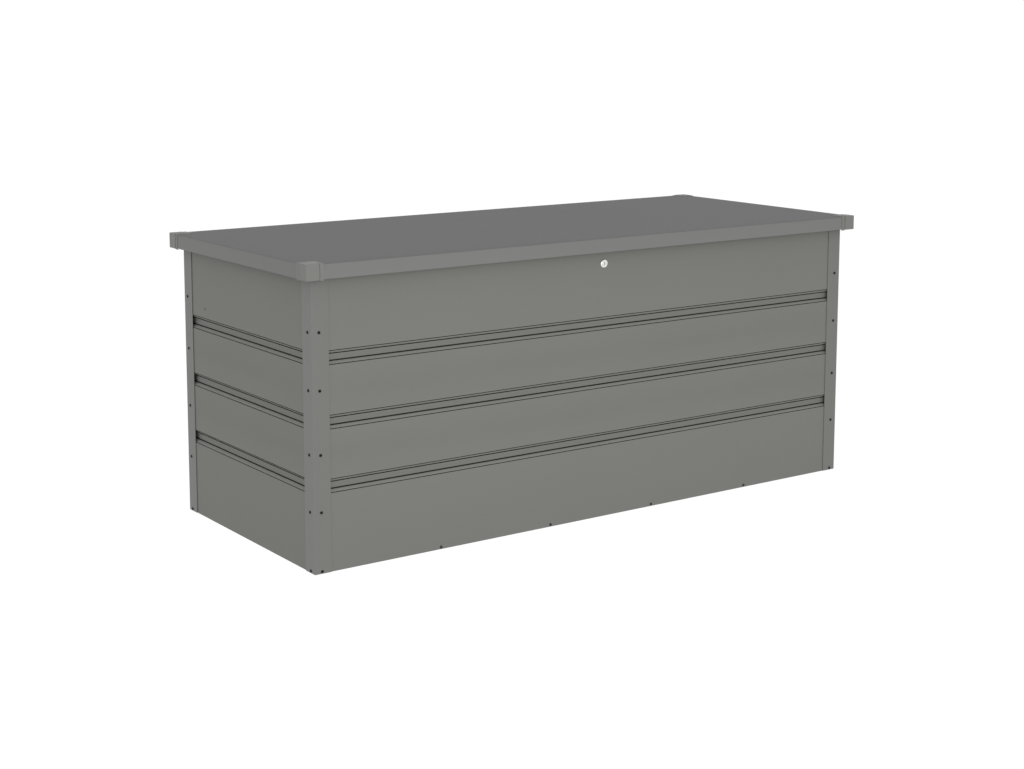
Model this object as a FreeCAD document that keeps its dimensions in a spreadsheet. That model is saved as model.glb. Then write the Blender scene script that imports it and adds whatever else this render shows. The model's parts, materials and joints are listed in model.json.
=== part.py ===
import FreeCAD, Part
import Sketcher
import os

# Steel deck storage box with a hinged lid: +Z up, front towards -Y, origin under the middle of the body.

document = FreeCAD.newDocument("deck_storage_box")
sizes = document.addObject("Spreadsheet::Sheet", "sizes")

driving_sizes = [
    # the body, outside the corner posts, in millimetres
    ("body_width", 1600), ("body_depth", 640), ("wall_top", 680),
    ("sheet_gauge", 0.8), ("post_gauge", 1.0), ("post_gap", 0.8), ("post_leg", 42), ("post_bend", 1.6),
    ("wall_inset", 14),
    # pressed grooves of the walls, measured to the middle of the narrow beads that edge rim and floor
    ("groove_depth", 8), ("groove_mouth", 30.8), ("groove_floor", 15.7), ("groove_lowest", 194.2),
    ("groove_pitch", 143), ("rim_bead", 1.8), ("rim_bead_depth", 1.8), ("upper_bead", 2.2), ("lower_bead", 3.2),
    ("floor_bead_depth", 3),
    # M3 screws and nuts, and the rows they stand in
    ("screw_inset", 18), ("screw_foot", 5), ("screw_low", 138.3), ("screw_step", 128.5), ("screw_middle", 143),
    ("foot_pitch", 313), ("rim_screw_height", 665), ("rim_screw_near", 200), ("rim_screw_far", 600),
    ("screw_radius", 1.5), ("screw_hole", 1.7), ("screw_head", 3.4), ("screw_head_height", 1.8),
    ("screw_length", 8), ("nut_flats", 5.5), ("nut_height", 2.4), ("nut_bore", 1.55),
    # floor pans
    ("floor_flange", 15), ("floor_rib", 6), ("floor_rib_foot", 30), ("floor_rib_crown", 18),
    ("floor_rib_pitch", 200), ("floor_lap", 26),
    # rim rails and the rubber bumpers on them
    ("rail_height", 24), ("rail_depth", 16), ("side_rail_depth", 10), ("rail_gauge", 1), ("rail_lip", 12),
    ("bumper_out", 700), ("bumper_radius", 7), ("bumper_stem", 3), ("bumper_bulb", 4.4), ("bumper_top", 690),
    # lid sheet, its stiffeners and corner caps
    ("lid_top", 691), ("lid_overhang", 23.5), ("skirt_height", 34), ("hem_height", 10), ("lid_bend", 2.4),
    ("stiffener_pitch", 520), ("stiffener_height", 15), ("stiffener_crown", 13), ("stiffener_flange", 26),
    ("stiffener_length", 532), ("stiffener_shift", 16),
    ("cap_top", 692.5), ("cap_foot", 656), ("cap_leg", 33), ("cap_proud", 1.5), ("cap_round", 0.8),
    ("cap_rim", 4.5),
    ("collar_foot", 654.5), ("collar_reach", 10.5), ("collar_proud", 1), ("seam_width", 1.3), ("seam_proud", 0.2),
    # hinges
    ("hinge_back", 3.5), ("hinge_height", 648), ("hinge_pitch", 550), ("hinge_width", 80), ("knuckle_radius", 4.5),
    ("knuckle_width", 20), ("knuckle_gap", 0.5), ("leaf_gauge", 1.5), ("leaf_foot", 600), ("leaf_notch", 642),
    ("leaf_top", 684), ("pin_radius", 2.5), ("pin_clearance", 0.05), ("hinge_screw_out", 25),
    ("hinge_screw_height", 620), ("rivet_height", 676), ("rivet_head", 4), ("rivet_head_height", 1.4),
    # gas struts, foot on the side wall and head on the lid
    ("strut_out", 772), ("strut_foot_y", 210), ("strut_foot_z", 518), ("strut_head_y", -95), ("strut_head_z", 668),
    ("tube_radius", 9), ("tube_bore", 7.5), ("tube_end", 3), ("rod_radius", 4), ("piston_radius", 7.4),
    ("piston_length", 10), ("rod_length", 240), ("rod_shown", 20), ("eye_radius", 7), ("eye_width", 8),
    ("eye_bore", 4.05), ("neck_radius", 5), ("eye_reach", 22), ("stud_radius", 4), ("collar_radius", 7),
    ("stud_cap", 6), ("stud_gap", 0.2), ("foot_plate_gauge", 2), ("foot_plate_length", 60),
    ("foot_plate_below", 18), ("foot_plate_above", 42), ("foot_bolt", 2), ("foot_bolt_head", 3.2),
    ("foot_bolt_length", 12),
    ("lid_bracket_gauge", 2), ("lid_bracket_out", 784.5), ("lid_bracket_length", 36), ("lid_bracket_foot", 660),
    ("lid_bracket_reach", 34),
    # cam lock and strike
    ("lock_height", 626.5), ("lock_flange", 10.6), ("lock_flange_depth", 3), ("lock_barrel", 9.5), ("lock_length", 21.5),
    ("lock_hole", 9.7), ("core_radius", 6.5), ("core_clearance", 0.05), ("core_proud", 0.6), ("keyway_width", 2.2),
    ("keyway_height", 7.5), ("keyway_depth", 8), ("lock_nut_flats", 24), ("lock_nut_height", 4),
    ("cam_gauge", 2.5), ("cam_width", 16), ("cam_length", 40), ("cam_setback", 3.5), ("stub_radius", 3),
    ("cam_screw_head", 5), ("cam_screw_height", 3), ("cam_screw_radius", 1.5), ("cam_screw_length", 8),
    ("strike_gauge", 1.5), ("strike_near", 12), ("strike_far", 40), ("strike_front", -285), ("strike_foot", 612),
    ("strike_lip", 12), ("strike_tab", 24),
]
for row, (alias, number) in enumerate(driving_sizes, 1):
    sizes.set(f"A{row}", alias)
    sizes.set(f"B{row}", str(number))
    sizes.setAlias(f"B{row}", alias)
document.recompute()

pieces = []

# places that several pieces share, as expressions on the sheet
half_width = "sizes.body_width / 2"
half_depth = "sizes.body_depth / 2"
wall_face_x = f"({half_width} - sizes.post_gauge - sizes.post_gap)"
wall_face_y = f"({half_depth} - sizes.post_gauge - sizes.post_gap)"
inner_x = f"({wall_face_x} - sizes.sheet_gauge)"
inner_y = f"({wall_face_y} - sizes.sheet_gauge)"
screw_x = f"({half_width} - sizes.screw_inset)"
screw_y = f"({half_depth} - sizes.screw_inset)"
lid_x = f"({half_width} + sizes.lid_overhang)"
lid_y = f"({half_depth} + sizes.lid_overhang)"
lid_under = "(sizes.lid_top - sizes.sheet_gauge)"
skirt_foot = "(sizes.lid_top - sizes.skirt_height)"
rail_foot = "(sizes.wall_top - sizes.rail_height)"
bumper_y = f"({inner_y} - sizes.rail_depth / 2)"
hinge_y = f"({half_depth} + sizes.hinge_back)"
hem_y = f"({lid_y} - 2 * sizes.sheet_gauge)"
screw_rows = [
    "sizes.screw_foot",
    "sizes.screw_low",
    "(sizes.screw_low + sizes.screw_step)",
    "(sizes.screw_low + sizes.screw_step + sizes.screw_middle)",
    "(sizes.screw_low + 2 * sizes.screw_step + sizes.screw_middle)",
]
groove_rows = [f"(sizes.groove_lowest + {count} * sizes.groove_pitch)" for count in range(3)]
foot_columns = [f"({step} * sizes.foot_pitch)" for step in (-1.5, -0.5, 0.5, 1.5)]
rim_columns = ["(-sizes.rim_screw_far)", "(-sizes.rim_screw_near)", "sizes.rim_screw_near", "sizes.rim_screw_far"]
hinges = {"left": "(-sizes.hinge_pitch)", "middle": "0", "right": "sizes.hinge_pitch"}
sides = {"left": -1, "right": 1}


def value(expression):
    return float(sizes.evalExpression(expression))


def point(x, y, z):
    return FreeCAD.Vector(value(x), value(y), value(z))


def keep(item, label):
    item.Label = label
    pieces.append(item)
    return item


# ---- Part primitives bound to the sheet

def box(low, high):
    item = document.addObject("Part::Box", "box")
    for axis, side, start, end in zip("xyz", ("Length", "Width", "Height"), low, high):
        item.setExpression(side, f"abs(({end}) - ({start}))")
        item.setExpression(f"Placement.Base.{axis}", f"min({start}; {end})")
    return item


def rod(start, radius, length, direction=(0, 0, 1)):
    item = document.addObject("Part::Cylinder", "rod")
    turn = FreeCAD.Rotation(FreeCAD.Vector(0, 0, 1), FreeCAD.Vector(*direction))
    item.Placement = FreeCAD.Placement(FreeCAD.Vector(), turn)
    item.setExpression("Radius", radius)
    item.setExpression("Height", length)
    for axis, place in zip("xyz", start):
        item.setExpression(f"Placement.Base.{axis}", place)
    return item


def join(items):
    item = document.addObject("Part::MultiFuse", "join")
    item.Shapes = items
    item.Refine = True
    return item


def remove(base, tools):
    item = document.addObject("Part::Cut", "cut")
    item.Base = base
    item.Tool = tools[0] if len(tools) == 1 else join(tools)
    return item


def round_edges(base, radius, choose):
    document.recompute()
    item = document.addObject("Part::Fillet", "rounded")
    item.Base = base
    chosen = [number for number, edge in enumerate(base.Shape.Edges, 1) if choose(edge)]
    item.Edges = [(number, value(radius), value(radius)) for number in chosen]
    return item


# ---- PartDesign bodies bound to the sheet

def plane_of(body, role):
    return next(feature for feature in body.Origin.OriginFeatures if feature.Role == role)


def sketch_on(body, role):
    sketch = body.newObject("Sketcher::SketchObject", "sketch")
    sketch.AttachmentSupport = [(plane_of(body, role), "")]
    sketch.MapMode = "FlatFace"
    return sketch


def pin_point(sketch, geometry, position, across, up):
    for kind, expression in (("DistanceX", across), ("DistanceY", up)):
        where = sketch.addConstraint(Sketcher.Constraint(kind, -1, 1, geometry, position, value(expression)))
        sketch.setExpression(f"Constraints[{where}]", expression)


def outline(body, role, corners):
    sketch = sketch_on(body, role)
    places = [FreeCAD.Vector(value(across), value(up), 0) for across, up in corners]
    for number, place in enumerate(places):
        sketch.addGeometry(Part.LineSegment(place, places[(number + 1) % len(places)]), False)
    for number in range(len(places)):
        sketch.addConstraint(Sketcher.Constraint("Coincident", number, 2, (number + 1) % len(places), 1))
    for number, (across, up) in enumerate(corners):
        pin_point(sketch, number, 1, across, up)
    return sketch


def extrude(body, sketch, length, symmetric=True):
    feature = body.newObject("PartDesign::Pad", "pad")
    feature.Profile = sketch
    feature.SideType = "Symmetric" if symmetric else "One side"
    feature.setExpression("Length", length)
    return feature


def drill(body, role, holes):
    document.recompute()
    before = body.Shape.Volume
    sketch = sketch_on(body, role)
    for across, up, radius in holes:
        centre = FreeCAD.Vector(value(across), value(up), 0)
        circle = sketch.addGeometry(Part.Circle(centre, FreeCAD.Vector(0, 0, 1), value(radius)), False)
        pin_point(sketch, circle, 3, across, up)
        where = sketch.addConstraint(Sketcher.Constraint("Radius", circle, value(radius)))
        sketch.setExpression(f"Constraints[{where}]", radius)
    feature = body.newObject("PartDesign::Pocket", "holes")
    feature.Profile = sketch
    feature.SideType = "Symmetric"
    feature.Type = "ThroughAll"
    document.recompute()
    if body.Shape.Volume >= before:
        raise RuntimeError(f"the holes of {body.Name} cut nothing")


def round_body_edges(body, radius, choose):
    document.recompute()
    base = body.Tip
    chosen = [f"Edge{number}" for number, edge in enumerate(base.Shape.Edges, 1) if choose(edge)]
    feature = body.newObject("PartDesign::Fillet", "bends")
    feature.Base = (base, chosen)
    feature.setExpression("Radius", radius)
    document.recompute()
    if not chosen or "Invalid" in feature.State:
        raise RuntimeError(f"the bends of {body.Name} did not build on {len(chosen)} edges")


def new_body(label):
    return keep(document.addObject("PartDesign::Body", label), label)


def runs_along(edge, axis, shortest):
    box_of_edge = edge.BoundBox
    spans = {"x": box_of_edge.XLength, "y": box_of_edge.YLength, "z": box_of_edge.ZLength}
    others = [span for name, span in spans.items() if name != axis]
    return spans[axis] > shortest and max(others) < 0.01


# ---- the four walls: one sheet each, with three pressed grooves

def groove_half(row, side):
    """Corners from the groove's rim to its floor, below (side -1) or above (1) its centre line.

    Each is (depth, height, depth of the lining behind it, height of that lining); a None has no lining corner.
    """
    gauge = "sizes.sheet_gauge"
    rim, floor = "sizes.groove_mouth / 2", "sizes.groove_floor / 2"
    bead = "sizes.upper_bead" if side > 0 else "sizes.lower_bead"
    shallow, deep = "sizes.rim_bead_depth", "sizes.groove_depth + sizes.floor_bead_depth"
    corners = [
        ("0", f"{rim} + sizes.rim_bead / 2", gauge, 1),
        (shallow, f"{rim} + sizes.rim_bead / 2", gauge, 1),
        (shallow, f"{rim} - sizes.rim_bead / 2", gauge, -1),
        ("0", f"{rim} - sizes.rim_bead / 2", None, 0),
        ("sizes.groove_depth", f"{floor} + {bead} / 2", "0", 1),
        (deep, f"{floor} + {bead} / 2", gauge, 1),
        (deep, f"{floor} - {bead} / 2", gauge, -1),
        ("sizes.groove_depth", f"{floor} - {bead} / 2", gauge, -1),
    ]
    for depth, offset, behind, shift in corners:
        height = f"{row} + {side} * ({offset})"
        lining = None if behind is None else (f"{depth} + {behind}", f"{height} + {side * shift} * {gauge}")
        yield (depth, height), lining


def wall_section(face, inwards):
    """Corners of the pressed sheet's section: its outer skin upwards, then its lining downwards."""
    skin, lining = [("0", "0")], [("sizes.sheet_gauge", "0")]
    for row in groove_rows:
        for corner, behind in [*groove_half(row, -1), *reversed(list(groove_half(row, 1)))]:
            skin.append(corner)
            if behind:
                lining.append(behind)
    skin.append(("0", "sizes.wall_top"))
    lining.append(("sizes.sheet_gauge", "sizes.wall_top"))
    return [(f"{face} + {inwards} * ({depth})", height) for depth, height in skin + lining[::-1]]


def long_wall(label, sign, extra_holes):
    body = new_body(label)
    section = wall_section(f"{sign} * {wall_face_y}", -sign)
    extrude(body, outline(body, "YZ_Plane", section), "sizes.body_width - 2 * sizes.wall_inset")
    holes = [(f"{side} * {screw_x}", row, "sizes.screw_hole") for side in (-1, 1) for row in screw_rows]
    holes += [(column, "sizes.screw_foot", "sizes.screw_hole") for column in foot_columns]
    holes += [(column, "sizes.rim_screw_height", "sizes.screw_hole") for column in rim_columns]
    drill(body, "XZ_Plane", holes + extra_holes)


def side_wall(label, sign):
    body = new_body(label)
    section = wall_section(f"{sign} * {wall_face_x}", -sign)
    extrude(body, outline(body, "XZ_Plane", section), "sizes.body_depth - 2 * sizes.wall_inset")
    holes = [(f"{side} * {screw_y}", row, "sizes.screw_hole") for side in (-1, 1) for row in screw_rows]
    holes += [(f"{side} * sizes.rim_screw_near", "sizes.rim_screw_height", "sizes.screw_hole") for side in (-1, 1)]
    holes += [("sizes.strut_foot_y", "sizes.strut_foot_z", "sizes.foot_bolt + 0.2")]
    drill(body, "YZ_Plane", holes)


hinge_screw_places = [
    f"({place} + {step} * sizes.hinge_screw_out)" for place in hinges.values() for step in (-1, 1)
]
long_wall("front_wall", -1, [("0", "sizes.lock_height", "sizes.lock_hole")])
long_wall("back_wall", 1, [(place, "sizes.hinge_screw_height", "sizes.screw_hole") for place in hinge_screw_places])
for name, sign in sides.items():
    side_wall(f"{name}_wall", sign)


# ---- corner posts: folded angles outside the walls

def corner_post(label, side, end):
    body = new_body(label)
    corner_x, corner_y = f"{side} * {half_width}", f"{end} * {half_depth}"
    leg_x, leg_y = f"{corner_x} - {side} * sizes.post_leg", f"{corner_y} - {end} * sizes.post_leg"
    back_x, back_y = f"{corner_x} - {side} * sizes.post_gauge", f"{corner_y} - {end} * sizes.post_gauge"
    angle = [(corner_x, corner_y), (leg_x, corner_y), (leg_x, back_y), (back_x, back_y), (back_x, leg_y),
             (corner_x, leg_y)]
    extrude(body, outline(body, "XY_Plane", angle), "sizes.wall_top", symmetric=False)
    outside = FreeCAD.Vector(value(corner_x), value(corner_y), 0)
    round_body_edges(body, "sizes.post_bend", lambda edge: runs_along(edge, "z", 100)
                     and abs(edge.BoundBox.XMin - outside.x) < 0.01 and abs(edge.BoundBox.YMin - outside.y) < 0.01)
    drill(body, "XZ_Plane", [(f"{side} * {screw_x}", row, "sizes.screw_hole") for row in screw_rows])
    drill(body, "YZ_Plane", [(f"{end} * {screw_y}", row, "sizes.screw_hole") for row in screw_rows])


for end_name, end in (("front", -1), ("back", 1)):
    for name, sign in sides.items():
        corner_post(f"corner_post_{end_name}_{name}", sign, end)


# ---- floor: two ribbed pans that lap over a rib in the middle

def floor_pan(label, side, lift):
    """The pan's section from its flange at the side wall to the lap past the middle of the box."""
    def rib(centre, base):
        foot, crown = "sizes.floor_rib_foot / 2", "sizes.floor_rib_crown / 2"
        return [(f"{centre} + {side} * {foot}", base), (f"{centre} + {side} * {crown}", f"{base} + sizes.floor_rib"),
                (f"{centre} - {side} * {crown}", f"{base} + sizes.floor_rib"), (f"{centre} - {side} * {foot}", base)]
    under = [(f"{side} * {inner_x}", "0")]
    for count in (3, 2, 1):
        under += rib(f"{side} * {count} * sizes.floor_rib_pitch", "0")
    if lift != "0":
        under += [(f"{side} * (sizes.floor_lap + 2)", "0"), (f"{side} * sizes.floor_lap", lift)]
    under += rib("0", lift) + [(f"-({side}) * (sizes.floor_lap - 2)", lift)]
    over = [(across, f"{up} + sizes.sheet_gauge") for across, up in under]
    sheet = document.addObject("PartDesign::Body", f"{label}_sheet")
    extrude(sheet, outline(sheet, "XZ_Plane", under + over[::-1]), f"2 * ({inner_y} - sizes.sheet_gauge)")
    flanges = [box((f"{side} * {inner_x}", f"-{inner_y}", "0"),
                   (f"{side} * ({inner_x} - sizes.sheet_gauge)", inner_y, "sizes.floor_flange"))]
    for end in (-1, 1):
        flanges.append(box((f"{side} * 1", f"{end} * ({inner_y} - sizes.sheet_gauge)", "0"),
                           (f"{side} * {inner_x}", f"{end} * {inner_y}", "sizes.floor_flange")))
    long = "2 * sizes.body_width"
    columns = [f"{side} * {screw_x}", f"{side} * 0.5 * sizes.foot_pitch", f"{side} * 1.5 * sizes.foot_pitch"]
    holes = [rod((place, f"-{long}", "sizes.screw_foot"), "sizes.screw_hole", f"2 * {long}", (0, 1, 0))
             for place in columns]
    start = "0" if side > 0 else f"-{long}"
    holes += [rod((start, f"{end} * {screw_y}", "sizes.screw_foot"), "sizes.screw_hole", long, (1, 0, 0))
              for end in (-1, 1)]
    keep(remove(join([sheet] + flanges), holes), label)


floor_pan("floor_pan_right", 1, "0")
floor_pan("floor_pan_left", -1, "sizes.sheet_gauge")


# ---- rim rails inside the top of the walls

def rail_section(face, inwards, depth):
    web = f"{face} + {inwards} * sizes.rail_gauge"
    lip = f"{face} + {inwards} * ({depth} - sizes.rail_gauge)"
    edge = f"{face} + {inwards} * {depth}"
    under = "sizes.wall_top - sizes.rail_gauge"
    lip_foot = "sizes.wall_top - sizes.rail_lip"
    return [(face, rail_foot), (face, "sizes.wall_top"), (edge, "sizes.wall_top"), (edge, lip_foot), (lip, lip_foot),
            (lip, under), (web, under), (web, rail_foot)]


for name, sign in (("front", -1), ("back", 1)):
    rail = new_body(f"rim_rail_{name}")
    section = rail_section(f"{sign} * {inner_y}", -sign, "sizes.rail_depth")
    extrude(rail, outline(rail, "YZ_Plane", section), f"2 * ({inner_x} - sizes.sheet_gauge)")
    drill(rail, "XZ_Plane", [(column, "sizes.rim_screw_height", "sizes.screw_hole") for column in rim_columns])
    drill(rail, "XY_Plane", [(f"{side} * sizes.bumper_out", f"{sign} * {bumper_y}", "sizes.bumper_stem + 0.1")
                             for side in (-1, 1)])
for name, sign in sides.items():
    rail = new_body(f"rim_rail_{name}")
    section = rail_section(f"{sign} * {inner_x}", -sign, "sizes.side_rail_depth")
    extrude(rail, outline(rail, "XZ_Plane", section), f"2 * ({inner_y} - sizes.rail_depth) - sizes.sheet_gauge")
    drill(rail, "YZ_Plane", [(f"{side} * sizes.rim_screw_near", "sizes.rim_screw_height", "sizes.screw_hole")
                             for side in (-1, 1)])


# ---- lid: folded sheet with a hem, three hat stiffeners under it

def lid_block(inset, foot, top):
    return box((f"-({lid_x} - {inset})", f"-({lid_y} - {inset})", foot), (f"{lid_x} - {inset}", f"{lid_y} - {inset}", top))


def bent_edge(edge):
    low = edge.BoundBox.ZMin
    return edge.BoundBox.ZLength > 1 or low > value(skirt_foot) + 1


lid_outside = round_edges(lid_block("0", skirt_foot, "sizes.lid_top"), "sizes.lid_bend", bent_edge)
lid_inside = round_edges(lid_block("sizes.sheet_gauge", skirt_foot, lid_under),
                         "sizes.lid_bend - sizes.sheet_gauge", bent_edge)
hem_top = f"({skirt_foot} + sizes.hem_height)"
hem = remove(lid_block("sizes.sheet_gauge", skirt_foot, hem_top),
             [lid_block("2 * sizes.sheet_gauge", f"{skirt_foot} - 1", f"{hem_top} + 1")])
rivet_holes = [rod((place, hinge_y, "sizes.rivet_height"), "sizes.screw_hole", "2 * sizes.lid_overhang", (0, 1, 0))
               for place in hinge_screw_places]
keep(remove(join([remove(lid_outside, [lid_inside]), hem]), rivet_holes), "lid_panel")

for name, place in (("left", "-sizes.stiffener_pitch"), ("middle", "0"), ("right", "sizes.stiffener_pitch")):
    hat = new_body(f"lid_stiffener_{name}")
    crown, flange = "sizes.stiffener_crown", "sizes.stiffener_flange"
    crown_foot, gauge = f"{lid_under} - sizes.stiffener_height", "sizes.sheet_gauge"
    half = [(flange, lid_under), (flange, f"{lid_under} - {gauge}"), (f"{crown} + {gauge}", f"{lid_under} - {gauge}"),
            (f"{crown} + {gauge}", crown_foot)]
    inside = [(crown, f"{crown_foot} + {gauge}"), (crown, lid_under)]
    mirror = [(f"-({across})", up) for across, up in half[::-1]]
    inner_mirror = [(f"-({across})", up) for across, up in inside]
    extrude(hat, outline(hat, "XZ_Plane", half + mirror + inner_mirror[::-1] + inside), "sizes.stiffener_length")
    hat.setExpression("Placement.Base.x", place)
    hat.setExpression("Placement.Base.y", "sizes.stiffener_shift")


# ---- lid corner caps: a thick corner block with a thinner collar along each skirt

def corner_cap(label, side, end):
    def shell(leg, proud, foot, top):
        low = (f"{side} * ({lid_x} + sizes.cap_proud - {leg})", f"{end} * ({lid_y} + sizes.cap_proud - {leg})", foot)
        high = (f"{side} * ({lid_x} + {proud})", f"{end} * ({lid_y} + {proud})", top)
        return box(low, high)
    block = shell("sizes.cap_leg", "sizes.cap_proud", "sizes.cap_foot", "sizes.cap_top")
    rounded = round_edges(block, "sizes.cap_round", lambda edge: cap_edge(edge, side, end))
    collar = shell("(sizes.cap_leg + sizes.collar_reach)", "sizes.collar_proud", "sizes.collar_foot",
                   "(sizes.lid_top + sizes.collar_proud)")
    gap = shell("(sizes.cap_leg + sizes.seam_width)", "sizes.cap_proud", "sizes.cap_foot - 5", "sizes.cap_top")
    seam = shell("(sizes.cap_leg + sizes.collar_reach)", "sizes.seam_proud", "sizes.collar_foot",
                 "(sizes.lid_top + sizes.seam_proud)")
    lid_space = box(("0", "0", f"{skirt_foot} - 0.2"), (f"{side} * {lid_x}", f"{end} * {lid_y}", "sizes.lid_top"))
    under_space = box(("0", "0", "sizes.collar_foot - 1"),
                      (f"{side} * ({lid_x} + sizes.cap_proud - sizes.cap_rim)",
                       f"{end} * ({lid_y} + sizes.cap_proud - sizes.cap_rim)", f"{skirt_foot} + 1"))
    keep(remove(join([rounded, remove(collar, [gap]), seam]), [lid_space, under_space]), label)


def cap_edge(edge, side, end):
    span = edge.BoundBox
    far_x = abs(span.Center.x) > value(f"{lid_x} + sizes.cap_proud") - 0.1
    far_y = abs(span.Center.y) > value(f"{lid_y} + sizes.cap_proud") - 0.1
    on_top = span.ZMin > value("sizes.cap_top") - 0.1
    return (far_x and far_y) or (on_top and (far_x or far_y))


for end_name, end in (("front", -1), ("back", 1)):
    for name, sign in sides.items():
        corner_cap(f"lid_cap_{end_name}_{name}", sign, end)


# ---- hinges: a fixed leaf on the back wall, a cranked leaf on the rear skirt, and the pins

def hinge(name, place):
    half, end_knuckle = "sizes.hinge_width / 2", "sizes.knuckle_width"
    bore = rod((f"{place} - {half} - 1", hinge_y, "sizes.hinge_height"), "sizes.pin_radius + sizes.pin_clearance",
               "sizes.hinge_width + 2", (1, 0, 0))
    plate_back = f"{wall_face_y} + sizes.leaf_gauge"
    solids = [box((f"{place} - {half}", wall_face_y, "sizes.leaf_foot"),
                  (f"{place} + {half}", plate_back, "sizes.leaf_notch"))]
    for start in (f"{place} - {half}", f"{place} + {half} - {end_knuckle}"):
        solids.append(box((start, wall_face_y, "sizes.leaf_notch"), (f"{start} + {end_knuckle}", plate_back,
                                                                     "sizes.hinge_height")))
        solids.append(rod((start, hinge_y, "sizes.hinge_height"), "sizes.knuckle_radius", end_knuckle, (1, 0, 0)))
    screw_holes = [rod((f"{place} + {step} * sizes.hinge_screw_out", half_depth + " - 20", "sizes.hinge_screw_height"),
                       "sizes.screw_hole", "40", (0, 1, 0)) for step in (-1, 1)]
    keep(remove(join(solids), [bore] + screw_holes), f"hinge_leaf_fixed_{name}")

    start = f"{place} - {half} + {end_knuckle} + sizes.knuckle_gap"
    length = f"sizes.hinge_width - 2 * {end_knuckle} - 2 * sizes.knuckle_gap"
    tongue_top = "(sizes.hinge_height + sizes.knuckle_radius)"
    tongue_foot = f"({tongue_top} - sizes.leaf_gauge)"
    clear_of_knuckle = f"({hinge_y} + sizes.knuckle_radius + 1)"
    solids = [rod((start, hinge_y, "sizes.hinge_height"), "sizes.knuckle_radius", length, (1, 0, 0)),
              box((start, hinge_y, tongue_foot), (f"{start} + {length}", hem_y, tongue_top)),
              box((f"{place} - {half}", clear_of_knuckle, tongue_foot), (f"{place} + {half}", hem_y, tongue_top)),
              box((f"{place} - {half}", f"{hem_y} - sizes.leaf_gauge", tongue_foot),
                  (f"{place} + {half}", hem_y, "sizes.leaf_top"))]
    rivet_bores = [rod((f"{place} + {step} * sizes.hinge_screw_out", hinge_y, "sizes.rivet_height"),
                       "sizes.screw_hole", "40", (0, 1, 0)) for step in (-1, 1)]
    keep(remove(join(solids), [bore] + rivet_bores), f"hinge_leaf_moving_{name}")


for name, place in hinges.items():
    hinge(name, place)


# ---- gas struts: built along their own line, foot to head

strut_lean = ("atan2(sizes.strut_foot_y - sizes.strut_head_y; sizes.strut_head_z - sizes.strut_foot_z)")
strut_span = ("sqrt(pow(sizes.strut_foot_y - sizes.strut_head_y; 2)"
              " + pow(sizes.strut_head_z - sizes.strut_foot_z; 2))")


def along_strut(side, start, radius, length):
    """A round piece on the strut's line, start millimetres from the foot's axis."""
    item = document.addObject("Part::Cylinder", "strut_piece")
    item.Placement = FreeCAD.Placement(FreeCAD.Vector(), FreeCAD.Rotation(FreeCAD.Vector(1, 0, 0), 45))
    item.setExpression("Placement.Rotation.Angle", strut_lean)
    item.setExpression("Radius", radius)
    item.setExpression("Height", length)
    item.setExpression("Placement.Base.x", f"{side} * sizes.strut_out")
    item.setExpression("Placement.Base.y", f"sizes.strut_foot_y - ({start}) * sin({strut_lean})")
    item.setExpression("Placement.Base.z", f"sizes.strut_foot_z + ({start}) * cos({strut_lean})")
    return item


def strut_eye(label, side, place_y, place_z, neck_start, neck_length):
    low = f"{side} * sizes.strut_out - sizes.eye_width / 2"
    ring = rod((low, place_y, place_z), "sizes.eye_radius", "sizes.eye_width", (1, 0, 0))
    neck = along_strut(side, neck_start, "sizes.neck_radius", neck_length)
    flat = [box((f"{side} * sizes.strut_out + {cheek} * sizes.eye_width / 2", f"{place_y} - 30", f"{place_z} - 30"),
                (f"{side} * sizes.strut_out + {cheek} * sizes.eye_width", f"{place_y} + 30", f"{place_z} + 30"))
            for cheek in (-1, 1)]
    bore = rod((low + " - 1", place_y, place_z), "sizes.eye_bore", "sizes.eye_width + 2", (1, 0, 0))
    keep(remove(join([ring, neck]), [bore] + flat), label)


def strut(name, side):
    tube_start = "(sizes.eye_reach + sizes.rod_shown)"
    tube_stop = f"({strut_span} - sizes.eye_reach)"
    strut_eye(f"strut_rod_eye_{name}", side, "sizes.strut_foot_y", "sizes.strut_foot_z",
              "sizes.stud_radius", "sizes.eye_reach - sizes.stud_radius")
    strut_eye(f"strut_tube_eye_{name}", side, "sizes.strut_head_y", "sizes.strut_head_z",
              tube_stop, "sizes.eye_reach - sizes.stud_radius")
    piston = along_strut(side, "sizes.eye_reach + sizes.rod_length - sizes.piston_length",
                         "sizes.piston_radius", "sizes.piston_length")
    keep(join([along_strut(side, "sizes.eye_reach", "sizes.rod_radius", "sizes.rod_length"), piston]),
         f"strut_rod_{name}")
    tube = along_strut(side, tube_start, "sizes.tube_radius", f"{tube_stop} - {tube_start}")
    hollow = along_strut(side, f"{tube_start} + sizes.tube_end", "sizes.tube_bore",
                         f"{tube_stop} - {tube_start} - 2 * sizes.tube_end")
    mouth = along_strut(side, f"{tube_start} - 1", "sizes.eye_bore", "sizes.tube_end + 2")
    keep(remove(tube, [hollow, mouth]), f"strut_tube_{name}")


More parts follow.
